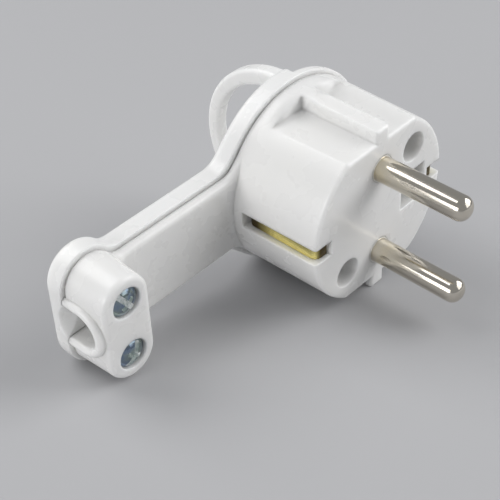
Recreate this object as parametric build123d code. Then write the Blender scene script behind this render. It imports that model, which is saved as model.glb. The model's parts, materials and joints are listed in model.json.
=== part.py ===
from build123d import *
import math
import os

# Flat earthed two-pin mains plug, CEE 7/7 pattern: rewirable, with a side arm that ends in a
# cord clamp, and a pull loop on the back cover. Millimetres.
# It is drawn in its own axes: the contact face at X = 0, pins out along +X, arm along -Y.
# At the end every piece is turned to the way the plug lies on a table, with +Z up.

# Pins
PIN_R = 2.4
PIN_REACH = 19.0
PIN_SPACING = 19.0
PIN_TIP_ROUND = 2.0
PIN_ROOT_R = 2.6

# Head of the base, the part that enters the socket
FACE_R = 18.2
PARTING_R = 18.6
HEAD_DEPTH = 21.4
ENGAGED_DEPTH = 17.4
FLAT_HALF = 15.6
GUIDE_RIB = 3.4
FACE_ROUND = 0.7
FRONT_WALL = 5.0
CAVITY_R = 14.4
CAVITY_HALF = 13.3

# Side slots for the earth strip, and the notch at the face for its hook
SLOT_WIDTH = 3.3
SLOT_FLOOR = 15.9
NOTCH_END = 13.8
NOTCH_DEPTH = 2.6

# Opening in the face for a socket's earth pin
WINDOW_NEAR = 6.1
WINDOW_FAR = 12.9
WINDOW_HALF = 3.85

# Arm and clamp block
ARM_HALF = 8.1
ARM_DEPTH = 2.0
ARM_ROUND = 1.0
HEAD_BLEND = 4.5
CLAMP_BLEND = 4.0
CLAMP_Y = -51.2
CLAMP_SCREW_Z = 5.9
CLAMP_R = 5.4
CLAMP_DEPTH = 9.4
CLAMP_DRAFT = 3.0
CLAMP_ROUND = 0.9
FOOT_ROUND = 1.8
PLATE_INSET = 0.2
GROOVE = 0.5
GROOVE_HEIGHT = 0.35

# Cord entry and wire channel
CORD_R = 3.6
CORD_DEPTH = 3.4
MOUTH_FLARE = 1.4
RIM = 1.75
RIM_ROUND = 0.85
CHANNEL_HALF = 6.0
CHANNEL_IN_BASE = 1.0
CHANNEL_IN_COVER = 2.0
CHANNEL_HEAD_END = -12.0
CLAMP_WALL = 1.6
RIDGE_HEIGHT = 0.7
RIDGE_WIDTH = 0.9
RIDGE_PITCH = 1.9

# Back cover and pull loop
COVER_LAP = 0.8
COVER_THICK = 4.2
COVER_THIN = 2.5
COVER_ROUND = 1.6
LOOP_INSET = 0.2
LOOP_RISE = 2.6
LOOP_Y = 0.5
LOOP_WIDTH = 3.1
LOOP_ROUND = 0.75
LOOP_FOOT = 3.6
LOOP_CROWN = 2.7
LIP = 1.0
LIP_HEIGHT = 1.5

# Screws that hold the cover, entered from the face
COVER_SCREW_Y = 9.1
COVER_SCREW_Z = 9.15
ACCESS_R = 3.0
ACCESS_BOSS_R = 4.6
SEAT_RISE = 6.9
SEAT_WEB = 3.1
COVER_BOSS_R = 3.5
COVER_SCREW_HEAD_R = 2.75
COVER_SCREW_HEAD = 2.2
COVER_SCREW_R = 1.5
COVER_SCREW_LENGTH = 7.4

# Clamp screws and nuts
CLAMP_SCREW_R = 1.5
CLAMP_HEAD_R = 2.85
CLAMP_HEAD = 1.7
COUNTERBORE = 1.6
NUT_FLATS = 5.5
NUT_HEIGHT = 2.4

# Terminals
BLOCK_HALF_Y = 4.0
BLOCK_HALF_Z = 3.6
BLOCK_LENGTH = 9.0
WIRE_R = 1.5
WIRE_DEPTH = 4.5
TERMINAL_SCREW_R = 1.5
TERMINAL_HEAD_R = 2.5
TERMINAL_HEAD = 1.8

# Earth bracket, contact clip and screw
STRIP = 1.0
STRIP_HALF = 1.5
STRIP_REACH = 17.1
STRIP_FRONT = 0.8
STRAP_BACK = 17.2
HOOK_END = 14.3
STRIP_BEND = 1.5
PAD_HALF = 4.0
PAD_NEAR = -7.0
CLIP = 0.8
CLIP_GAP_HALF = 2.45
CLIP_NEAR = 6.6
CLIP_FAR = 12.4
CLIP_FRONT = 6.0
EARTH_SCREW_Y = -2.5
EARTH_SCREW_R = 1.5
EARTH_HEAD_R = 2.75
EARTH_HEAD = 2.0
EARTH_SCREW_LENGTH = 4.5
WASHER_R = 3.4
WASHER = 0.8

# Fits
PIN_FIT = 0.05
SCREW_FIT = 0.15
THREAD_FIT = 0.05
MOULD_FIT = 0.2

# Places that follow from the sizes above
PARTING = -HEAD_DEPTH
SEAT_DEPTH = HEAD_DEPTH - SEAT_RISE
COVER_BACK = PARTING - COVER_THICK
THIN_BACK = PARTING - COVER_THIN
ARM_FRONT = PARTING + ARM_DEPTH
CLAMP_FRONT = PARTING + CLAMP_DEPTH
CLAMP_INNER_Y = CLAMP_Y + CLAMP_R - CLAMP_WALL
CORD_X = PARTING + CORD_DEPTH
BLOCK_BACK = -FRONT_WALL - BLOCK_LENGTH
COVER_R = PARTING_R + COVER_LAP
COVER_CLAMP_R = CLAMP_R + COVER_LAP
MOUTH_Y = CLAMP_Y - COVER_CLAMP_R
LOOP_X = PARTING - LOOP_RISE
LOOP_R = COVER_R - LOOP_INSET
FINGER_R = LOOP_R - LOOP_FOOT
FINGER_X = LOOP_X - LOOP_R + LOOP_CROWN + FINGER_R
STEP_Y = LOOP_Y + LOOP_WIDTH / 2
FAR = 2 * (HEAD_DEPTH + PARTING_R)


def slab(sketch, x_from, x_to):
    """Solid over a sketch drawn in (Y, Z), between two depths X."""
    return extrude(Plane.YZ.offset(x_from) * sketch, x_to - x_from)


def block(x_from, x_to, y_from, y_to, z_from, z_to):
    """Box between two corners."""
    size = (abs(x_to - x_from), abs(y_to - y_from), abs(z_to - z_from))
    middle = ((x_from + x_to) / 2, (y_from + y_to) / 2, (z_from + z_to) / 2)
    return Pos(*middle) * Box(*size)


def disc(radius, x_from, x_to, y=0.0, z=0.0):
    """Cylinder along X."""
    return slab(Pos(y, z) * Circle(radius), x_from, x_to)


def casing_outline(head_r, arm_half, clamp_r):
    """Round head, straight shoulders, arm and clamp end in one outline with blended corners."""
    head = Circle(head_r)
    leave = head_r * math.sqrt(0.5)
    meet = 2 * leave - arm_half
    shoulders = Polygon((-leave, -leave), (-leave, leave), (-meet, arm_half), (-meet, -arm_half), align=None)
    arm = Pos(CLAMP_Y / 2, 0) * Rectangle(-CLAMP_Y, 2 * arm_half)
    clamp = Pos(CLAMP_Y, 0) * SlotCenterToCenter(2 * CLAMP_SCREW_Z, 2 * clamp_r, rotation=90)
    outline = head + shoulders + arm + clamp
    inner = outline.vertices().filter_by(lambda v: abs(abs(v.Y) - arm_half) < 1e-4).sort_by(Axis.X)
    outline = fillet(inner[:2], CLAMP_BLEND)
    inner = outline.vertices().filter_by(lambda v: abs(abs(v.Y) - arm_half) < 1e-4).sort_by(Axis.X)
    return fillet(inner[-2:], HEAD_BLEND)


def head_form():
    """Drafted round head with flats, guide ribs and side slots, before it is hollowed."""
    cone = Plane.YZ.offset(PARTING) * Cone(
        PARTING_R, FACE_R, HEAD_DEPTH, align=(Align.CENTER, Align.CENTER, Align.MIN))
    form = cone
    for side in (1, -1):
        for hand in (1, -1):
            form -= block(-ENGAGED_DEPTH, FAR, hand * GUIDE_RIB / 2, hand * FAR,
                          side * FLAT_HALF, side * FAR)
    face = form.faces().sort_by(Axis.X)[-1]
    return fillet(face.outer_wire().edges(), FACE_ROUND)


def arm_form():
    """Low front half of the arm, with rounded edges and the tapered clamp block on its end."""
    outline = casing_outline(PARTING_R - PLATE_INSET, ARM_HALF, CLAMP_R - PLATE_INSET)
    plate = slab(outline, PARTING, ARM_FRONT)
    plate = fillet(plate.faces().sort_by(Axis.X)[-1].edges(), ARM_ROUND)
    foot = Pos(CLAMP_Y, 0) * SlotCenterToCenter(2 * CLAMP_SCREW_Z, 2 * CLAMP_R, rotation=90)
    clamp = extrude(Plane.YZ.offset(PARTING) * foot, CLAMP_DEPTH, taper=CLAMP_DRAFT)
    clamp = fillet(clamp.faces().sort_by(Axis.X)[-1].edges(), CLAMP_ROUND)
    arm = plate + clamp
    inner_corner = new_edges(plate, clamp, combined=arm).filter_by(lambda e: e.center().X > PARTING + 0.01)
    return fillet(inner_corner, FOOT_ROUND)


def head_hollow(inset=0.0):
    """Outline of the room inside the head, or of what fits into it."""
    return Circle(CAVITY_R - inset) & Rectangle(FAR, 2 * (CAVITY_HALF - inset))


def channel_section(radius, back):
    """Round-bottomed section of the cord channel, open towards the back cover."""
    bottom = Pos(CORD_X, 0) * Circle(radius)
    return bottom + Pos((CORD_X + back) / 2, 0) * Rectangle(CORD_X - back, 2 * radius)


def cord_channel():
    """Channel for the cord through the clamp block."""
    section = channel_section(CORD_R, PARTING - CORD_DEPTH)
    return extrude(Plane.XZ.offset(-CLAMP_INNER_Y) * section, -CLAMP_Y)


def mouth_rim():
    """Raised rounded rim round the cord's entry, flush with the cover's end."""
    section = channel_section(CORD_R + RIM, PARTING) - channel_section(CORD_R, PARTING - CORD_DEPTH)
    section &= Pos(PARTING + FAR / 2, 0) * Rectangle(FAR, FAR)
    rim = extrude(Plane.XZ.offset(-CLAMP_Y) * section, COVER_CLAMP_R)
    crest = rim.edges().filter_by(lambda e: abs(e.center().Y - MOUTH_Y) < 0.001)
    return fillet(crest.filter_by(lambda e: e.center().X > PARTING + 0.01), RIM_ROUND)


def grip_ridges():
    """Ribs across the channel that bite into the cord's sheath."""
    ring = Circle(CORD_R + RIDGE_HEIGHT) - Circle(CORD_R - RIDGE_HEIGHT)
    half = Pos(FAR / 2, 0) * Rectangle(FAR, FAR)
    ridges = []
    for step in (0, 1):
        y = CLAMP_INNER_Y - 0.8 - step * RIDGE_PITCH
        section = Plane.XZ.offset(-y) * (Pos(CORD_X, 0) * (ring & half))
        ridges.append(extrude(section, RIDGE_WIDTH))
    return ridges


def make_base():
    """Front casing: hollow head, wire channel in the arm, clamp block with the cord entry."""
    casing = head_form() + arm_form()

    hollow = head_hollow()
    bosses = Sketch()
    pockets = Sketch()
    for side in (1, -1):
        place = Pos(side * COVER_SCREW_Y, side * COVER_SCREW_Z)
        bosses += place * Circle(ACCESS_BOSS_R)
        pockets += place * Circle(COVER_BOSS_R + MOULD_FIT)
    boss_back = -SEAT_DEPTH - SEAT_WEB
    casing -= slab(hollow - bosses, -FRONT_WALL, boss_back)
    casing -= slab(hollow + pockets, boss_back, PARTING)

    for side in (1, -1):
        y = side * COVER_SCREW_Y
        z = side * COVER_SCREW_Z
        casing -= disc(ACCESS_R, -SEAT_DEPTH, FAR, y, z)
        casing -= disc(COVER_SCREW_R + SCREW_FIT, boss_back, FAR, y, z)
        casing -= disc(PIN_ROOT_R + PIN_FIT, -FRONT_WALL, FAR, 0, side * PIN_SPACING / 2)
        z_half = SLOT_WIDTH / 2
        casing -= block(-ENGAGED_DEPTH, FAR, side * SLOT_FLOOR, side * COVER_R, -z_half, z_half)
        casing -= block(-NOTCH_DEPTH, FAR, side * NOTCH_END, side * COVER_R, -z_half, z_half)
        strap_front = -STRAP_BACK + STRIP + MOULD_FIT
        casing -= block(-ENGAGED_DEPTH, strap_front, 0, side * COVER_R, -z_half, z_half)
    casing -= block(-FRONT_WALL, FAR, WINDOW_NEAR, WINDOW_FAR, -WINDOW_HALF, WINDOW_HALF)

    channel_top = PARTING + CHANNEL_IN_BASE
    casing -= block(PARTING, channel_top, CLAMP_Y + CLAMP_R, CHANNEL_HEAD_END, -CHANNEL_HALF, CHANNEL_HALF)
    casing -= block(PARTING, channel_top, CLAMP_INNER_Y, CLAMP_Y + CLAMP_R, -CORD_R, CORD_R)
    inside = casing_outline(PARTING_R - GROOVE, ARM_HALF - GROOVE, CLAMP_R - GROOVE)
    casing -= slab(Rectangle(4 * FAR, 2 * FAR) - inside, PARTING, PARTING + GROOVE_HEIGHT)
    casing += mouth_rim()
    casing -= cord_channel()
    for ridge in grip_ridges():
        casing += ridge & arm_form()

    for side in (1, -1):
        z = side * CLAMP_SCREW_Z
        casing -= disc(CLAMP_SCREW_R + SCREW_FIT, PARTING, FAR, CLAMP_Y, z)
        casing -= disc(CLAMP_HEAD_R + SCREW_FIT, CLAMP_FRONT - COUNTERBORE, FAR, CLAMP_Y, z)
    return casing


def make_loop():
    """Arch for pulling the plug out, thickest at its feet."""
    outer = Pos(LOOP_X, 0) * Circle(LOOP_R)
    outer &= Pos(LOOP_X - FAR / 2, 0) * Rectangle(FAR, FAR)
    finger = Pos(FINGER_X, 0) * Circle(FINGER_R)
    arch = extrude(Plane.XZ.offset(-LOOP_Y) * (outer - finger), LOOP_WIDTH / 2, both=True)
    curved = arch.edges().filter_by(GeomType.CIRCLE)
    return fillet(curved, LOOP_ROUND)


def make_cover():
    """Back half of the casing: thick over the arm, thin past the loop."""
    outline = casing_outline(COVER_R, ARM_HALF + COVER_LAP, COVER_CLAMP_R)
    thick = slab(outline, PARTING, COVER_BACK)
    thick = fillet(thick.faces().sort_by(Axis.X)[0].edges(), COVER_ROUND)
    thick -= block(-FAR, FAR, STEP_Y, FAR, -FAR, FAR)
    thin = disc(COVER_R, PARTING, THIN_BACK)
    thin = fillet(thin.faces().sort_by(Axis.X)[0].edges(), COVER_ROUND)
    thin -= block(-FAR, FAR, STEP_Y, -FAR, -FAR, FAR)
    cover = thick + thin + make_loop()

    room = head_hollow(MOULD_FIT + LIP) & (Pos(-FAR / 2, 0) * Rectangle(FAR, FAR))
    arm_end = CLAMP_Y + CLAMP_R
    arm_length = CHANNEL_HEAD_END - arm_end
    room += Pos(arm_end + arm_length / 2, 0) * Rectangle(arm_length, 2 * CHANNEL_HALF)
    room += Pos(arm_end, 0) * Rectangle(2 * (arm_end - CLAMP_INNER_Y), 2 * CORD_R)
    cover -= slab(room, PARTING, PARTING - CHANNEL_IN_COVER)

    lip = head_hollow(MOULD_FIT) - head_hollow(MOULD_FIT + LIP)
    lip -= Pos(-FAR / 2, 0) * Rectangle(FAR, 2 * CHANNEL_HALF)
    cover += slab(lip, PARTING - COVER_THIN / 2, PARTING + LIP_HEIGHT)

    boss_front = -SEAT_DEPTH - SEAT_WEB
    for side in (1, -1):
        y = side * COVER_SCREW_Y
        z = side * COVER_SCREW_Z
        root = THIN_BACK + 0.4 if side > 0 else PARTING - CHANNEL_IN_COVER - 0.4
        cover += disc(COVER_BOSS_R, root, boss_front, y, z)
        cover -= disc(COVER_SCREW_R + THREAD_FIT, -SEAT_DEPTH - COVER_SCREW_LENGTH - MOULD_FIT,
                      boss_front, y, z)

    mouth_r = CORD_R + MOUTH_FLARE
    flare = Cone(mouth_r, CORD_DEPTH, 2 * MOUTH_FLARE, align=(Align.CENTER, Align.CENTER, Align.MIN))
    cover -= Pos(CORD_X, MOUTH_Y, 0) * Rot(X=-90) * flare

    for side in (1, -1):
        z = side * CLAMP_SCREW_Z
        cover -= disc(CLAMP_SCREW_R + SCREW_FIT, COVER_BACK, PARTING, CLAMP_Y, z)
        pocket = RegularPolygon((NUT_FLATS + MOULD_FIT) / 2, 6, major_radius=False)
        cover -= slab(Pos(CLAMP_Y, z) * pocket, COVER_BACK, COVER_BACK + NUT_HEIGHT)
    return cover


def make_pin(side):
    """Contact pin with its terminal block behind the front wall."""
    z = side * PIN_SPACING / 2
    pin = disc(PIN_R, 0, PIN_REACH, 0, z)
    tip = pin.edges().filter_by(GeomType.CIRCLE).sort_by(Axis.X)[-1]
    pin = fillet(tip, PIN_TIP_ROUND) + disc(PIN_ROOT_R, -FRONT_WALL, 0, 0, z)
    body = block(BLOCK_BACK, -FRONT_WALL, -BLOCK_HALF_Y, BLOCK_HALF_Y, z - BLOCK_HALF_Z, z + BLOCK_HALF_Z)
    body = chamfer(body.edges().filter_by(Axis.X), 0.6)
    pin += body
    wire = Plane.XZ.offset(-FAR / 2) * (Pos(-FRONT_WALL - WIRE_DEPTH, z) * Circle(WIRE_R))
    pin -= extrude(wire, FAR)
    pin -= disc(TERMINAL_SCREW_R + THREAD_FIT, BLOCK_BACK, -FRONT_WALL - WIRE_DEPTH, 0, z)
    return pin


def make_screw(seat, head_r, head, shank_r, length, y, z, toward):
    """Plain screw along X: head on its seat, pointing forward (1) or back (-1)."""
    top = disc(head_r, seat, seat - toward * head, y, z)
    rim = top.edges().filter_by(GeomType.CIRCLE).sort_by(Axis.X)
    top = chamfer(rim[0] if toward > 0 else rim[-1], head / 2, head_r / 4)
    return top + disc(shank_r, seat, seat + toward * length, y, z)


def make_earth_bracket():
    """Earth strip: bent from one band, hooked at the face, with a wide pad for the wire screw."""
    length = STRAP_BACK - STRIP_FRONT
    middle = -(STRAP_BACK + STRIP_FRONT) / 2
    outside = Rectangle(length, 2 * STRIP_REACH)
    outside = Pos(middle, 0) * fillet(outside.vertices(), STRIP_BEND)
    inside = Rectangle(length - 2 * STRIP, 2 * (STRIP_REACH - STRIP))
    inside = Pos(middle, 0) * fillet(inside.vertices(), STRIP_BEND - STRIP)
    mouth = Pos(0, 0) * Rectangle(2 * (STRIP_FRONT + STRIP + 0.1), 2 * HOOK_END)
    band = extrude(outside - inside - mouth, STRIP_HALF, both=True)
    pad = block(-STRAP_BACK, -STRAP_BACK + STRIP, PAD_NEAR, CLIP_FAR, -PAD_HALF, PAD_HALF)
    pad = fillet(pad.edges().filter_by(Axis.X), STRIP_BEND)
    return band + pad - disc(EARTH_SCREW_R + THREAD_FIT, -FAR, 0, EARTH_SCREW_Y, 0)


def make_earth_contact():
    """Two spring leaves on the strap that grip a socket's earth pin."""
    back = -STRAP_BACK + STRIP
    half = CLIP_GAP_HALF + CLIP
    length = -CLIP_FRONT - back
    outside = Pos(back + length / 2, 0) * Rectangle(length, 2 * half)
    inside = Pos(back + CLIP + length / 2, 0) * Rectangle(length, 2 * CLIP_GAP_HALF)
    section = Plane.XZ.offset(-CLIP_FAR) * (outside - inside)
    return extrude(section, CLIP_FAR - CLIP_NEAR)


def make_washer():
    """Clamp washer under the earth screw."""
    ring = Circle(WASHER_R) - Circle(EARTH_SCREW_R + SCREW_FIT)
    return slab(Pos(EARTH_SCREW_Y, 0) * ring, -STRAP_BACK, -STRAP_BACK - WASHER)


def make_nut(side):
    """Hexagon nut in the back of the cover."""
    ring = RegularPolygon(NUT_FLATS / 2, 6, major_radius=False) - Circle(CLAMP_SCREW_R + THREAD_FIT)
    place = Pos(CLAMP_Y, side * CLAMP_SCREW_Z)
    return slab(place * ring, COVER_BACK, COVER_BACK + NUT_HEIGHT)


def table_plane():
    """Table under the plug as it lies on the cover's rim, the clamp end and a guide rib."""
    reach = math.hypot(CLAMP_Y, CLAMP_SCREW_Z)
    lean = math.atan2(CLAMP_SCREW_Z, -CLAMP_Y) + math.acos((COVER_R - COVER_CLAMP_R) / reach)
    across, up = math.cos(lean), math.sin(lean)
    rib_drop = across * GUIDE_RIB / 2 + up * math.sqrt(FACE_R ** 2 - (GUIDE_RIB / 2) ** 2)
    pitch = (COVER_R - rib_drop) / (PARTING + FACE_ROUND)
    normal = Vector(pitch, across, up).normalized()
    forward = Vector(1, 0, 0) - normal * normal.X
    return Plane(origin=(0, 0, 0), x_dir=forward, z_dir=normal)


def build():
    """All pieces in the plug's own axes."""
    clamp_seat = CLAMP_FRONT - COUNTERBORE
    clamp_length = clamp_seat - COVER_BACK - 0.2
    terminal_length = BLOCK_LENGTH - WIRE_DEPTH - WIRE_R
    pieces = {
        "base": make_base(),
        "back_cover": make_cover(),
        "earth_bracket": make_earth_bracket(),
        "earth_contact": make_earth_contact(),
        "earth_washer": make_washer(),
        "earth_screw": make_screw(-STRAP_BACK - WASHER, EARTH_HEAD_R, EARTH_HEAD, EARTH_SCREW_R,
                                  EARTH_SCREW_LENGTH, EARTH_SCREW_Y, 0, 1),
    }
    for name, side in (("upper", 1), ("lower", -1)):
        pin_z = side * PIN_SPACING / 2
        clamp_z = side * CLAMP_SCREW_Z
        pieces["pin_" + name] = make_pin(side)
        pieces["terminal_screw_" + name] = make_screw(
            BLOCK_BACK, TERMINAL_HEAD_R, TERMINAL_HEAD, TERMINAL_SCREW_R, terminal_length, 0, pin_z, 1)
        pieces["clamp_screw_" + name] = make_screw(
            clamp_seat, CLAMP_HEAD_R, CLAMP_HEAD, CLAMP_SCREW_R, clamp_length, CLAMP_Y, clamp_z, -1)
        pieces["clamp_nut_" + name] = make_nut(side)
        pieces["cover_screw_" + name] = make_screw(
            -SEAT_DEPTH, COVER_SCREW_HEAD_R, COVER_SCREW_HEAD, COVER_SCREW_R, COVER_SCREW_LENGTH,
            side * COVER_SCREW_Y, side * COVER_SCREW_Z, -1)
    return pieces


def lay_down(pieces):
    """Turns the pieces to the table and puts the origin under the middle of the plug."""
    table = table_plane()
    turned = {name: table.to_local_coords(piece) for name, piece in pieces.items()}
    boxes = [piece.bounding_box() for piece in turned.values()]
    middle_x = (min(box.min.X for box in boxes) + max(box.max.X for box in boxes)) / 2
    middle_y = (min(box.min.Y for box in boxes) + max(box.max.Y for box in boxes)) / 2
    shift = Pos(-middle_x, -middle_y, -min(box.min.Z for box in boxes))
    return {name: shift * piece for name, piece in turned.items()}


os.makedirs("parts", exist_ok=True)
for node, piece in lay_down(build()).items():
    export_step(piece, "parts/" + node + ".step")
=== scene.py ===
import json
import math

import bpy
from mathutils import Matrix, Vector


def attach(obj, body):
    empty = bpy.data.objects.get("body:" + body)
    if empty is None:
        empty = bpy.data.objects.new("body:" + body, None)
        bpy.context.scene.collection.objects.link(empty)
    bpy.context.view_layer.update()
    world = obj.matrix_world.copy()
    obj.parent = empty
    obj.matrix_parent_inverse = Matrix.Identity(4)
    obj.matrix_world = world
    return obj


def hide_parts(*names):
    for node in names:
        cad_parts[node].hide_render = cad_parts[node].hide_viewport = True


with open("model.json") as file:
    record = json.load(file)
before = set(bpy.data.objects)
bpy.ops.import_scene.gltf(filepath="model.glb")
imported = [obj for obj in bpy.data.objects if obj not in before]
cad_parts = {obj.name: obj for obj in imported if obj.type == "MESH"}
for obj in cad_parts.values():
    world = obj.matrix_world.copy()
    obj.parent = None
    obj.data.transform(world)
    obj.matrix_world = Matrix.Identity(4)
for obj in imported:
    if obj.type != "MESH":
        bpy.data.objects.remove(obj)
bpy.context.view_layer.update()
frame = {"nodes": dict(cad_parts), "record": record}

MM = 0.001

# Sizes and places taken from the solids, in millimetres in the plug's own axes
PIN_R = 2.4            # radius of a pin
PIN_Z = 9.5            # from the middle of the face to a pin's axis
FLAT_END = 17.4        # from the face back to the inner end of the head's flats
CLAMP_Y = -51.2        # clamp screws, down the arm
CLAMP_Z = 5.9          # clamp screws, to either side of the arm's middle
COVER_Y = 9.1          # cover screws, from the middle of the face
COVER_Z = 9.15
EARTH_Y = -2.5         # earth wire's screw, from the middle of the face
CLAMP_SEAT = -13.6     # undersides of the screw heads, from the face
COVER_SEAT = -14.5
TERMINAL_SEAT = -14.0
EARTH_SEAT = -18.0
NUT_FRONT = -23.2      # front of the clamp nuts, from the face

CASING_WHITE = (0.810, 0.805, 0.790)
COVER_WHITE = (0.815, 0.811, 0.797)

RECESS = "recess"                 # mark on the faces that a screw's recess is made of, where the zinc is painted pale as painted light
WELD = 0.004                      # corners closer than this, in millimetres, become one
ROUND_EDGE = math.radians(28)     # an edge flatter than this is shaded smooth


# The plug's own axes: contact face at x = 0, pins along +x, arm along -y, in millimetres

def plug_axes():
    """Turn and place of the plug's own axes, read from where its two pins are."""
    pins = {mount["name"]: mount for mount in frame["record"]["mounts"]}
    upper = Vector(pins["pin_upper"]["pos_m"])
    lower = Vector(pins["pin_lower"]["pos_m"])
    along = Vector(pins["pin_upper"]["axis"]).normalized()
    across = (upper - lower).normalized()
    side = across.cross(along).normalized()
    across = along.cross(side)
    turn = Matrix((along, side, across)).transposed()
    half_length = pins["pin_upper"]["dims"]["length_mm"] * MM / 2
    return turn, (upper + lower) / 2 - along * half_length


TURN, FACE_CENTRE = plug_axes()


def on_plug(x, y, z):
    """A point given in the plug's own millimetres."""
    return FACE_CENTRE + TURN @ Vector((x, y, z)) * MM


def facing(toward, roll):
    """Turn of a screw or nut whose top looks along +x (1) or -x (-1) of the plug."""
    top = TURN @ Vector((toward, 0, 0))
    first = TURN @ Vector((0, 1, 0))
    upright = Matrix((first, top.cross(first), top)).transposed()
    return (upright @ Matrix.Rotation(math.radians(roll), 3, "Z")).to_euler()


# Node helpers

def put(tree, kind, inputs=(), **settings):
    """Adds a node, sets it, and fills its inputs with numbers or links."""
    node = tree.nodes.new(kind)
    for name, value in settings.items():
        setattr(node, name, value)
    for key, value in dict(inputs).items():
        if isinstance(value, bpy.types.NodeSocket):
            tree.links.new(value, node.inputs[key])
        else:
            node.inputs[key].default_value = value
    return node


def sums(tree, operation, first, second=0.0, clamp=False):
    """One step of arithmetic."""
    node = put(tree, "ShaderNodeMath", {0: first, 1: second}, operation=operation, use_clamp=clamp)
    return node.outputs[0]


def spread(tree, value, low, high, to_low, to_high):
    """Moves a range of values to another."""
    return put(tree, "ShaderNodeMapRange", {
        "Value": value, "From Min": low, "From Max": high,
        "To Min": to_low, "To Max": to_high}).outputs[0]


def xyz(tree, x=0.0, y=0.0, z=0.0):
    """A vector from its three parts."""
    return put(tree, "ShaderNodeCombineXYZ", {0: x, 1: y, 2: z}).outputs[0]


def split(tree, vector):
    """The three parts of a vector."""
    return put(tree, "ShaderNodeSeparateXYZ", {0: vector}).outputs


def length(tree, vector):
    """How long a vector is."""
    return put(tree, "ShaderNodeVectorMath", {0: vector}, operation="LENGTH").outputs["Value"]


def scaled(tree, vector, factors):
    """A vector with each of its parts multiplied."""
    node = put(tree, "ShaderNodeVectorMath", {0: vector, 1: factors}, operation="MULTIPLY")
    return node.outputs[0]


# Finishes

def blank_finish(name):
    """A new material with its shader and the surface's own coordinates."""
    material = bpy.data.materials.new(name)
    material.use_nodes = True
    tree = material.node_tree
    shader = tree.nodes["Principled BSDF"]
    place = put(tree, "ShaderNodeTexCoord").outputs["Object"]
    return material, tree, shader, place


def in_plug(tree, place):
    """Coordinates in the plug's own axes, in millimetres."""
    return put(tree, "ShaderNodeMapping", {
        "Vector": place, "Location": FACE_CENTRE, "Rotation": TURN.to_euler(),
        "Scale": (MM, MM, MM)}, vector_type="TEXTURE").outputs[0]


def stretched(tree, place, stretch):
    """Coordinates stretched for a grain."""
    return put(tree, "ShaderNodeMapping", {"Vector": place, "Scale": stretch}).outputs[0]


def noise(tree, place, scale, detail=2.0, rough=0.5):
    """Cloudy pattern from 0 to 1."""
    return put(tree, "ShaderNodeTexNoise", {
        "Vector": place, "Scale": scale, "Detail": detail, "Roughness": rough}).outputs["Fac"]


def blended(tree, factor, first, second):
    """Colour between two colours."""
    node = put(tree, "ShaderNodeMix", {0: factor, 6: first, 7: second}, data_type="RGBA")
    return node.outputs[2]


def moulded_white(name, warm, shift):
    """Glossy white casing plastic that lets a little light in.

    It has faint flow marks, rubbed patches and soft edges, softest where the flats end.
    """
    cool = (warm[0] * 0.985, warm[1] * 0.988, warm[2] * 0.996, 1)
    dust = (0.52, 0.50, 0.46, 1)
    edge_r, run_out_r, light_depth = 0.5, 3.0, 1.4
    material, tree, shader, place = blank_finish(name)
    shifted = put(tree, "ShaderNodeMapping", {"Vector": place, "Location": shift}).outputs[0]
    flow = spread(tree, noise(tree, shifted, 55, 2, 0.5), 0.35, 0.65, 0, 1)
    speck = spread(tree, noise(tree, shifted, 1700, 1), 0.72, 0.80, 0, 0.02)
    colour = blended(tree, speck, blended(tree, flow, (*warm, 1), cool), dust)
    tree.links.new(colour, shader.inputs["Base Color"])
    rubbed = spread(tree, noise(tree, shifted, 130, 3, 0.55), 0.3, 0.7, 0.24, 0.31)
    tree.links.new(rubbed, shader.inputs["Roughness"])

    spot = split(tree, in_plug(tree, place))
    off_end = sums(tree, "ABSOLUTE", sums(tree, "ADD", spot[0], FLAT_END))
    off_middle = sums(tree, "ABSOLUTE", spot[2])
    run_out = sums(tree, "MULTIPLY", spread(tree, off_end, 1.5, 4.0, 1, 0),
                   spread(tree, off_middle, 13.0, 14.5, 0, 1))
    edge = sums(tree, "ADD", edge_r, sums(tree, "MULTIPLY", run_out, run_out_r))
    soft_edge = put(tree, "ShaderNodeBevel", {
        "Radius": sums(tree, "MULTIPLY", edge, MM)}, samples=16).outputs[0]
    ripple = put(tree, "ShaderNodeBump", {
        "Height": noise(tree, shifted, 320, 2), "Strength": 0.04, "Distance": 0.05 * MM,
        "Normal": soft_edge}).outputs[0]
    tree.links.new(ripple, shader.inputs["Normal"])
    shader.inputs["IOR"].default_value = 1.5
    shader.inputs["Subsurface Weight"].default_value = 1.0
    shader.inputs["Subsurface Radius"].default_value = (1.0, 1.0, 1.0)
    shader.inputs["Subsurface Scale"].default_value = light_depth * MM
    return material


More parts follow.
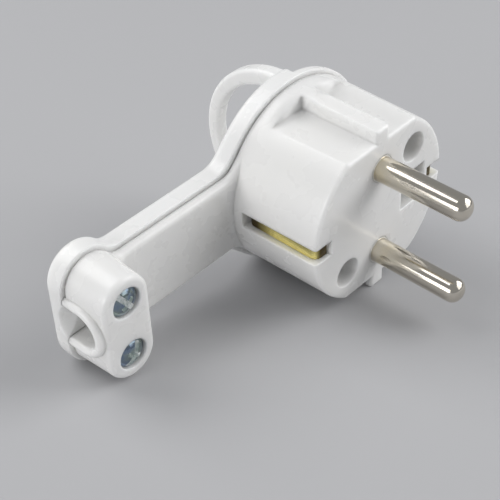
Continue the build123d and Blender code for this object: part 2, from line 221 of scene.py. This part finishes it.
def nickel_plate(name):
    """Polished nickel over brass, and white where the casing laps onto the pin.

    Faint drawing lines run along the pin. Its root is painted warm: partly brass showing through
    thin nickel, partly a painted reflection of the white face.
    """
    nickel = (0.66, 0.62, 0.55, 1)
    warm_brass_and_reflection = (0.74, 0.66, 0.48, 1)
    worn = (0.40, 0.37, 0.32, 1)
    lap_back = -0.4
    material, tree, shader, place = blank_finish(name)
    turned = in_plug(tree, place)
    scratch = noise(tree, stretched(tree, turned, (0.05, 4.0, 4.0)), 1.4, 4, 0.65)
    cloud = noise(tree, turned, 0.35, 4, 0.6)
    spot = split(tree, turned)
    # warmer towards the root: brass showing through, and a painted reflection of the white face
    root = spread(tree, spot[0], 0.0, 8.0, 0.9, 0.1)
    root_brass_and_reflection = sums(tree, "MULTIPLY", spread(tree, cloud, 0.36, 0.62, 0.2, 1), root, clamp=True)
    colour = blended(tree, root_brass_and_reflection, nickel, warm_brass_and_reflection)
    colour = blended(tree, spread(tree, scratch, 0.60, 0.74, 0, 0.25), colour, worn)
    dull = spread(tree, scratch, 0.3, 0.75, 0.08, 0.17)
    dull = sums(tree, "ADD", dull, sums(tree, "MULTIPLY", root_brass_and_reflection, 0.08))

    off_axis = sums(tree, "SUBTRACT", sums(tree, "ABSOLUTE", spot[2]), PIN_Z)
    from_axis = length(tree, xyz(tree, y=spot[1], z=off_axis))
    lap = sums(tree, "MULTIPLY", spread(tree, from_axis, PIN_R + 0.02, PIN_R + 0.04, 0, 1),
               sums(tree, "GREATER_THAN", spot[0], lap_back))
    colour = blended(tree, lap, colour, (*CASING_WHITE, 1))
    dull = sums(tree, "ADD", dull, sums(tree, "MULTIPLY", lap, 0.18))
    tree.links.new(colour, shader.inputs["Base Color"])
    tree.links.new(sums(tree, "SUBTRACT", 1.0, lap), shader.inputs["Metallic"])
    tree.links.new(dull, shader.inputs["Roughness"])
    lines = put(tree, "ShaderNodeBump", {
        "Height": scratch, "Strength": 0.08, "Distance": 0.03 * MM}).outputs[0]
    tree.links.new(lines, shader.inputs["Normal"])
    return material


def rolled_brass(name):
    """Rolled brass strip: fine lines along the band and faint random discolouring; the inner bend
    deep in the slot and the hook at its front are painted dark brown as painted shade.
    """
    brass = (0.99, 0.87, 0.33, 1)
    brown = (0.09, 0.065, 0.025, 1)
    material, tree, shader, place = blank_finish(name)
    turned = in_plug(tree, place)
    lines = noise(tree, stretched(tree, turned, (0.12, 0.12, 5.0)), 1.5, 3, 0.6)
    depth = split(tree, turned)[0]
    # painted shade: darker towards the inner bend deep in the slot, where the strip lies in shade
    inner_bend = spread(tree, depth, -10.5, -15.0, 0, 1)
    # painted shade: the hook at the front of the slot is painted near-black brown
    hook = spread(tree, depth, -1.4, -0.82, 0, 1)
    cloud = spread(tree, noise(tree, turned, 0.4, 4, 0.6), 0.50, 0.74, 0, 0.25)
    # random discolouring together with the painted shade of the bend and the hook
    tarnish_and_painted_shade = sums(tree, "MAXIMUM", cloud, sums(tree, "MAXIMUM", inner_bend, hook))
    tree.links.new(blended(tree, tarnish_and_painted_shade, brass, brown), shader.inputs["Base Color"])
    shader.inputs["Metallic"].default_value = 1.0
    dull = spread(tree, lines, 0.3, 0.7, 0.20, 0.30)
    dull = sums(tree, "ADD", dull, sums(tree, "MULTIPLY", tarnish_and_painted_shade, 0.12))
    tree.links.new(dull, shader.inputs["Roughness"])
    band = put(tree, "ShaderNodeBump", {
        "Height": lines, "Strength": 0.15, "Distance": 0.03 * MM}).outputs[0]
    tree.links.new(band, shader.inputs["Normal"])
    return material


def blue_zinc(name):
    """Zinc plating, painted dark blue on the polished dome as a painted dark reflection, and
    painted pale grey-green in the rough recess as painted light.
    """
    # painted reflection: dark dome colours stand for the dark surroundings the dome reflects
    blue, painted_dark_green = (0.21, 0.27, 0.36, 1), (0.30, 0.36, 0.34, 1)
    # painted light: pale recess colours stand for light caught in the recess
    painted_lit_pale, grey = (0.92, 0.95, 0.93, 1), (0.66, 0.72, 0.71, 1)
    material, tree, shader, place = blank_finish(name)
    turned = in_plug(tree, place)
    cast = spread(tree, noise(tree, turned, 0.55, 3, 0.55), 0.42, 0.62, 0, 1)
    wear = spread(tree, noise(tree, turned, 1.7, 3, 0.6), 0.40, 0.60, 0, 1)
    grain = noise(tree, turned, 6.0, 3, 0.6)
    recess = put(tree, "ShaderNodeAttribute", attribute_name=RECESS).outputs["Fac"]
    colour = blended(tree, recess, blended(tree, cast, blue, painted_dark_green),
                     blended(tree, wear, painted_lit_pale, grey))
    tree.links.new(colour, shader.inputs["Base Color"])
    shader.inputs["Metallic"].default_value = 1.0
    dull = spread(tree, grain, 0.3, 0.7, 0.08, 0.15)
    dull = sums(tree, "ADD", dull, sums(tree, "MULTIPLY", recess, 0.22))
    tree.links.new(dull, shader.inputs["Roughness"])
    pits = put(tree, "ShaderNodeBump", {
        "Height": grain, "Strength": 0.10, "Distance": 0.03 * MM}).outputs[0]
    tree.links.new(pits, shader.inputs["Normal"])
    return material


casing_plastic = moulded_white("casing moulded white", CASING_WHITE, (0.0, 0.0, 0.0))
cover_plastic = moulded_white("cover moulded white", COVER_WHITE, (0.31, 0.17, 0.05))
pin_plating = nickel_plate("pin nickel plate")
strip_brass = rolled_brass("earth strip brass")
screw_plating = blue_zinc("screw blue zinc")

FINISHES = {
    "base": casing_plastic,
    "back_cover": cover_plastic,
    "pin_upper": pin_plating,
    "pin_lower": pin_plating,
    "earth_bracket": strip_brass,
    "earth_contact": strip_brass,
    "earth_washer": screw_plating,
}
for node, finish in FINISHES.items():
    for holder in frame["nodes"][node].material_slots:
        holder.material = finish


# Screws and nuts, drawn in millimetres with the top along z and the seat at z = 0

def new_tree(name, sizes):
    """A Geometry Nodes tree that takes the seats, the sizes and the finish."""
    tree = bpy.data.node_groups.new(name, "GeometryNodeTree")
    face = tree.interface
    face.new_socket("Seats", in_out="INPUT", socket_type="NodeSocketGeometry")
    for size, value in sizes.items():
        socket = face.new_socket(size, in_out="INPUT", socket_type="NodeSocketFloat")
        socket.default_value = value
    face.new_socket("Finish", in_out="INPUT", socket_type="NodeSocketMaterial")
    face.new_socket("Pieces", in_out="OUTPUT", socket_type="NodeSocketGeometry")
    return tree, tree.nodes.new("NodeGroupInput").outputs


def moved(tree, mesh, offset, turn=(0.0, 0.0, 0.0)):
    """The mesh set at another height or turn."""
    where = offset
    if isinstance(offset, bpy.types.NodeSocket):
        where = xyz(tree, z=offset)
    return put(tree, "GeometryNodeTransform", {
        "Geometry": mesh, "Translation": where, "Rotation": turn}).outputs[0]


def joined(tree, *meshes):
    """Several meshes as one."""
    node = tree.nodes.new("GeometryNodeJoinGeometry")
    for mesh in meshes:
        tree.links.new(mesh, node.inputs[0])
    return node.outputs[0]


def welded(tree, mesh):
    """The mesh with corners that lie on each other made one."""
    node = put(tree, "GeometryNodeMergeByDistance", {"Geometry": mesh, "Distance": WELD})
    return node.outputs[0]


def cut(tree, mesh, *tools):
    """The mesh with the tools' shapes taken out."""
    node = put(tree, "GeometryNodeMeshBoolean", {0: mesh}, operation="DIFFERENCE", solver="EXACT")
    node.inputs["Self Intersection"].default_value = True
    for tool in tools:
        tree.links.new(tool, node.inputs[1])
    return welded(tree, node.outputs[0])


def common(tree, *meshes):
    """What the meshes share."""
    node = put(tree, "GeometryNodeMeshBoolean", operation="INTERSECT", solver="EXACT")
    for mesh in meshes:
        tree.links.new(mesh, node.inputs[1])
    return welded(tree, node.outputs[0])


def marked(tree, tool):
    """The tool with its faces marked, so that the recess it cuts can be painted pale as painted
    light.
    """
    return put(tree, "GeometryNodeStoreNamedAttribute", {
        "Geometry": tool, "Name": RECESS, "Value": 1.0},
        data_type="FLOAT", domain="FACE").outputs[0]


def drum(tree, sides, radius, height, rings=1, fans=1):
    """Round or six-sided bar, standing on z = 0."""
    bar = put(tree, "GeometryNodeMeshCylinder", {
        "Vertices": sides, "Radius": radius, "Depth": height,
        "Side Segments": rings, "Fill Segments": fans}, fill_type="TRIANGLE_FAN").outputs[0]
    return moved(tree, bar, sums(tree, "MULTIPLY", height, 0.5))


def block(tree, long, wide, deep):
    """Box that reaches as far above z = 0 as below, for cutting down from a face."""
    size = xyz(tree, long, wide, sums(tree, "MULTIPLY", deep, 2.0))
    return put(tree, "GeometryNodeMeshCube", {"Size": size}).outputs[0]


def set_out(tree, seats, piece, finish):
    """One piece on each seat, turned as the seat says, smooth where it is round."""
    turn = put(tree, "GeometryNodeInputNamedAttribute", {"Name": "turn"},
               data_type="FLOAT_VECTOR").outputs[0]
    turn = put(tree, "FunctionNodeEulerToRotation", {0: turn}).outputs[0]
    rows = put(tree, "GeometryNodeInstanceOnPoints", {
        "Points": seats, "Instance": piece, "Rotation": turn, "Scale": (MM, MM, MM)}).outputs[0]
    real = put(tree, "GeometryNodeRealizeInstances", {0: rows}).outputs[0]
    bend = tree.nodes.new("GeometryNodeInputMeshEdgeAngle").outputs[0]
    round_edge = put(tree, "FunctionNodeCompare", {0: bend, 1: ROUND_EDGE},
                     operation="LESS_THAN").outputs[0]
    smooth = put(tree, "GeometryNodeSetShadeSmooth", {
        "Geometry": real, "Shade Smooth": round_edge}, domain="EDGE").outputs[0]
    dressed = put(tree, "GeometryNodeSetMaterial", {0: smooth, "Material": finish}).outputs[0]
    leave = tree.nodes.new("NodeGroupOutput")
    tree.links.new(dressed, leave.inputs[0])


def screw_head(tree, size):
    """Domed head with a slot across it and a tapered cross recess."""
    sides, fans = 56, 9
    slot_past_head, cross_foot, cross_mouth = 2.4, 0.45, 1.2
    head = drum(tree, sides, size["Head radius"], size["Head height"], 1, fans)
    place = tree.nodes.new("GeometryNodeInputPosition").outputs[0]
    spot = split(tree, place)
    away = length(tree, xyz(tree, spot[0], spot[1]))
    away = sums(tree, "DIVIDE", away, size["Head radius"])
    drop = sums(tree, "MULTIPLY", sums(tree, "POWER", away, 2.0), size["Dome"])
    drop = xyz(tree, z=sums(tree, "MULTIPLY", drop, -1.0))
    near_top = sums(tree, "MULTIPLY", size["Head height"], 0.8)
    crown = sums(tree, "GREATER_THAN", spot[2], near_top)
    head = put(tree, "GeometryNodeSetPosition", {
        "Geometry": head, "Selection": crown, "Offset": drop}).outputs[0]

    slot_long = sums(tree, "MULTIPLY", size["Head radius"], slot_past_head)
    slot = block(tree, slot_long, size["Slot width"], size["Slot depth"])
    arm_long = sums(tree, "MULTIPLY", size["Cross reach"], 2.0)
    arm = block(tree, arm_long, size["Cross width"], size["Cross depth"])
    below = sums(tree, "MULTIPLY", size["Cross depth"], -1.0)
    narrow = spread(tree, spot[2], below, size["Cross depth"], cross_foot, cross_mouth)
    taper = scaled(tree, place, xyz(tree, narrow, narrow, 1.0))
    arm = put(tree, "GeometryNodeSetPosition", {"Geometry": arm, "Position": taper}).outputs[0]
    across = moved(tree, arm, (0, 0, 0), (0, 0, math.pi / 2))
    tools = [moved(tree, tool, size["Head height"]) for tool in (slot, arm, across)]
    return cut(tree, head, *[marked(tree, tool) for tool in tools])


def screw_shank(tree, size):
    """Core, blunt point and thread of a screw."""
    sides, thread_steps = 32, 20
    point_height, point_lap, bare_end = 0.6, 0.05, 0.7
    core = sums(tree, "SUBTRACT", size["Shank radius"], size["Thread depth"])
    down = sums(tree, "MULTIPLY", size["Shank length"], -1.0)
    body = drum(tree, sides, core, sums(tree, "SUBTRACT", size["Shank length"], point_height))
    body = moved(tree, body, sums(tree, "ADD", down, point_height))
    point = put(tree, "GeometryNodeMeshCone", {
        "Vertices": sides, "Radius Top": sums(tree, "MULTIPLY", core, 0.97),
        "Radius Bottom": sums(tree, "MULTIPLY", core, 0.6),
        "Depth": point_height + point_lap}).outputs[0]
    point = moved(tree, point, down)
    cut_length = sums(tree, "SUBTRACT", size["Shank length"], 2 * bare_end)
    helix = put(tree, "GeometryNodeCurveSpiral", {
        "Resolution": thread_steps,
        "Rotations": sums(tree, "DIVIDE", cut_length, size["Thread pitch"]),
        "Start Radius": core, "End Radius": core, "Height": cut_length}).outputs[0]
    ridge = put(tree, "GeometryNodeCurvePrimitiveCircle", {
        "Resolution": 4, "Radius": size["Thread depth"]}).outputs[0]
    thread = put(tree, "GeometryNodeCurveToMesh", {
        "Curve": helix, "Profile Curve": ridge, "Fill Caps": True}).outputs[0]
    thread = moved(tree, thread, sums(tree, "ADD", down, bare_end))
    return body, point, thread


def screw_tree():
    """Domed screw with a slot across its head, a cross recess and a thread."""
    tree, size = new_tree("slotted cross screw", {
        "Head radius": 2.8, "Head height": 1.7, "Dome": 0.6,
        "Slot width": 0.8, "Slot depth": 0.7,
        "Cross width": 0.8, "Cross reach": 1.6, "Cross depth": 1.3,
        "Shank radius": 1.5, "Shank length": 8.0, "Thread pitch": 0.6, "Thread depth": 0.22})
    whole = joined(tree, screw_head(tree, size), *screw_shank(tree, size))
    set_out(tree, size["Seats"], whole, size["Finish"])
    return tree


def nut_tree():
    """Six-sided nut with turned corners and a countersunk bore."""
    turned_sides, turned_rings, bore_sides = 48, 6, 40
    sink_flare, sink_depth = 0.6, 0.35
    tree, size = new_tree("six-sided nut", {"Flats": 5.5, "Height": 2.4, "Bore": 1.55})
    corner = sums(tree, "DIVIDE", size["Flats"], math.sqrt(3))
    six = drum(tree, 6, corner, size["Height"])
    past_corner = sums(tree, "MULTIPLY", corner, 1.02)
    turned = drum(tree, turned_sides, past_corner, size["Height"], turned_rings)
    place = tree.nodes.new("GeometryNodeInputPosition").outputs[0]
    up = sums(tree, "DIVIDE", split(tree, place)[2], size["Height"])
    off_middle = sums(tree, "ABSOLUTE", sums(tree, "SUBTRACT", up, 0.5))
    pull = spread(tree, off_middle, 0.32, 0.5, 1.0, 0.88)
    shaped = scaled(tree, place, xyz(tree, pull, pull, 1.0))
    turned = put(tree, "GeometryNodeSetPosition", {
        "Geometry": turned, "Position": shaped}).outputs[0]
    body = common(tree, six, turned)
    hole = drum(tree, bore_sides, size["Bore"], sums(tree, "MULTIPLY", size["Height"], 2.0))
    hole = moved(tree, hole, (0, 0, -1))
    sink = put(tree, "GeometryNodeMeshCone", {
        "Vertices": bore_sides, "Radius Top": sums(tree, "ADD", size["Bore"], sink_flare),
        "Radius Bottom": size["Bore"], "Depth": sink_flare}).outputs[0]
    sink = moved(tree, sink, sums(tree, "SUBTRACT", size["Height"], sink_depth))
    set_out(tree, size["Seats"], cut(tree, body, hole, sink), size["Finish"])
    return tree


def made(name, tree, seats, sizes, *nodes):
    """Runs a tree over its seats and keeps the result as a plain piece in place of CAD nodes."""
    mesh = bpy.data.meshes.new(name)
    mesh.from_pydata([on_plug(*place) for place, _ in seats], [], [])
    turns = mesh.attributes.new("turn", "FLOAT_VECTOR", "POINT")
    for entry, (_, turn) in zip(turns.data, seats):
        entry.vector = turn
    piece = bpy.data.objects.new(name, mesh)
    bpy.context.scene.collection.objects.link(piece)
    maker = piece.modifiers.new("maker", "NODES")
    maker.node_group = tree
    sockets = {item.name: item.identifier
               for item in tree.interface.items_tree if item.in_out == "INPUT"}
    for size, value in sizes.items():
        maker[sockets[size]] = value
    maker[sockets["Finish"]] = screw_plating
    bpy.context.view_layer.update()
    ready = piece.evaluated_get(bpy.context.evaluated_depsgraph_get())
    plain = bpy.data.meshes.new_from_object(ready)
    piece.modifiers.remove(maker)
    piece.data = plain
    bpy.data.meshes.remove(mesh)
    plain.name = name
    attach(piece, "root")
    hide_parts(*nodes)


screw = screw_tree()
nut = nut_tree()

made("clamp_screws", screw, [
    ((CLAMP_SEAT, CLAMP_Y, CLAMP_Z), facing(1, -56)),
    ((CLAMP_SEAT, CLAMP_Y, -CLAMP_Z), facing(1, 56)),
], {
    "Head radius": 2.85, "Head height": 2.0, "Dome": 1.15,
    "Slot width": 1.0, "Slot depth": 0.85,
    "Cross width": 1.1, "Cross reach": 1.9, "Cross depth": 1.2,
    "Shank radius": 1.5, "Shank length": 11.8, "Thread pitch": 0.7, "Thread depth": 0.24,
}, "clamp_screw_upper", "clamp_screw_lower")

made("cover_screws", screw, [
    ((COVER_SEAT, COVER_Y, COVER_Z), facing(1, 20)),
    ((COVER_SEAT, -COVER_Y, -COVER_Z), facing(1, 75)),
], {
    "Head radius": 2.75, "Head height": 2.2, "Dome": 0.9,
    "Slot width": 0.7, "Slot depth": 0.8,
    "Cross width": 0.8, "Cross reach": 1.5, "Cross depth": 1.6,
    "Shank radius": 1.5, "Shank length": 7.4, "Thread pitch": 1.1, "Thread depth": 0.34,
}, "cover_screw_upper", "cover_screw_lower")

made("terminal_screws", screw, [
    ((TERMINAL_SEAT, 0, PIN_Z), facing(-1, 10)),
    ((TERMINAL_SEAT, 0, -PIN_Z), facing(-1, 130)),
], {
    "Head radius": 2.5, "Head height": 1.8, "Dome": 0.5,
    "Slot width": 0.7, "Slot depth": 0.8,
    "Cross width": 0.7, "Cross reach": 1.3, "Cross depth": 1.3,
    "Shank radius": 1.5, "Shank length": 3.0, "Thread pitch": 0.5, "Thread depth": 0.2,
}, "terminal_screw_upper", "terminal_screw_lower")

made("earth_wire_screw", screw, [((EARTH_SEAT, EARTH_Y, 0), facing(-1, 45))], {
    "Head radius": 2.75, "Head height": 2.0, "Dome": 0.6,
    "Slot width": 0.75, "Slot depth": 0.8,
    "Cross width": 0.75, "Cross reach": 1.4, "Cross depth": 1.4,
    "Shank radius": 1.5, "Shank length": 4.5, "Thread pitch": 0.5, "Thread depth": 0.2,
}, "earth_screw")

made("clamp_nuts", nut, [
    ((NUT_FRONT, CLAMP_Y, CLAMP_Z), facing(-1, 0)),
    ((NUT_FRONT, CLAMP_Y, -CLAMP_Z), facing(-1, 0)),
], {"Flats": 5.5, "Height": 2.4, "Bore": 1.55}, "clamp_nut_upper", "clamp_nut_lower")


# Floor, light and camera

def pale_floor():
    """Wide plain floor at the table's height."""
    half = 2.5
    corners = [(-half, -half, 0), (half, -half, 0), (half, half, 0), (-half, half, 0)]
    mesh = bpy.data.meshes.new("floor")
    mesh.from_pydata(corners, [], [(0, 1, 2, 3)])
    floor = bpy.data.objects.new("floor", mesh)
    bpy.context.scene.collection.objects.link(floor)
    material = bpy.data.materials.new("floor pale grey")
    material.use_nodes = True
    shader = material.node_tree.nodes["Principled BSDF"]
    shader.inputs["Base Color"].default_value = (0.44, 0.44, 0.45, 1)
    shader.inputs["Roughness"].default_value = 0.85
    shader.inputs["Specular IOR Level"].default_value = 0.2
    mesh.materials.append(material)


def soft_lamp(name, place, width, height, watts):
    """Large flat lamp that points at the middle of the plug."""
    aim = Vector((0, 0, 0.02))
    lamp = bpy.data.lights.new(name, "AREA")
    lamp.shape = "RECTANGLE"
    lamp.size = width
    lamp.size_y = height
    lamp.energy = watts
    holder = bpy.data.objects.new(name, lamp)
    holder.location = place
    holder.rotation_euler = (aim - Vector(place)).to_track_quat("-Z", "Y").to_euler()
    bpy.context.scene.collection.objects.link(holder)


def studio():
    """Four soft lamps in a dim room: right, front, left and low on the left."""
    soft_lamp("right softbox", (0.35, 0.45, 0.45), 0.5, 0.5, 2.75)
    soft_lamp("front fill", (0.45, 0.25, 0.28), 0.4, 0.4, 0.62)
    soft_lamp("left softbox", (-0.45, -0.15, 0.50), 0.5, 0.5, 2.45)
    soft_lamp("low left softbox", (-0.05, -0.70, 0.15), 0.5, 0.3, 2.15)
    world = bpy.data.worlds.new("studio")
    world.use_nodes = True
    sky = world.node_tree.nodes["Background"]
    sky.inputs["Color"].default_value = (0.95, 0.97, 1.0, 1)
    sky.inputs["Strength"].default_value = 0.33
    bpy.context.scene.world = world


def photo_camera():
    """Camera where the photograph was taken from, in the plug's own axes."""
    right = Vector((0.7319352, 0.6804700, -0.0350903))
    down = Vector((0.4275235, -0.4987389, -0.7539782))
    ahead = Vector((-0.5305605, 0.5368613, -0.6559615))
    place = on_plug(106.73143, -142.33286, 145.01570)
    lens = bpy.data.cameras.new("photo camera")
    lens.sensor_fit = "HORIZONTAL"
    lens.sensor_width = 36.0
    lens.lens = 90.0
    lens.clip_start = 0.01
    holder = bpy.data.objects.new("photo camera", lens)
    turn = TURN @ Matrix((right, -down, -ahead)).transposed()
    holder.matrix_world = Matrix.Translation(place) @ turn.to_4x4()
    bpy.context.scene.collection.objects.link(holder)
    bpy.context.scene.camera = holder


pale_floor()
studio()
photo_camera()
bpy.context.scene.view_settings.view_transform = "Standard"
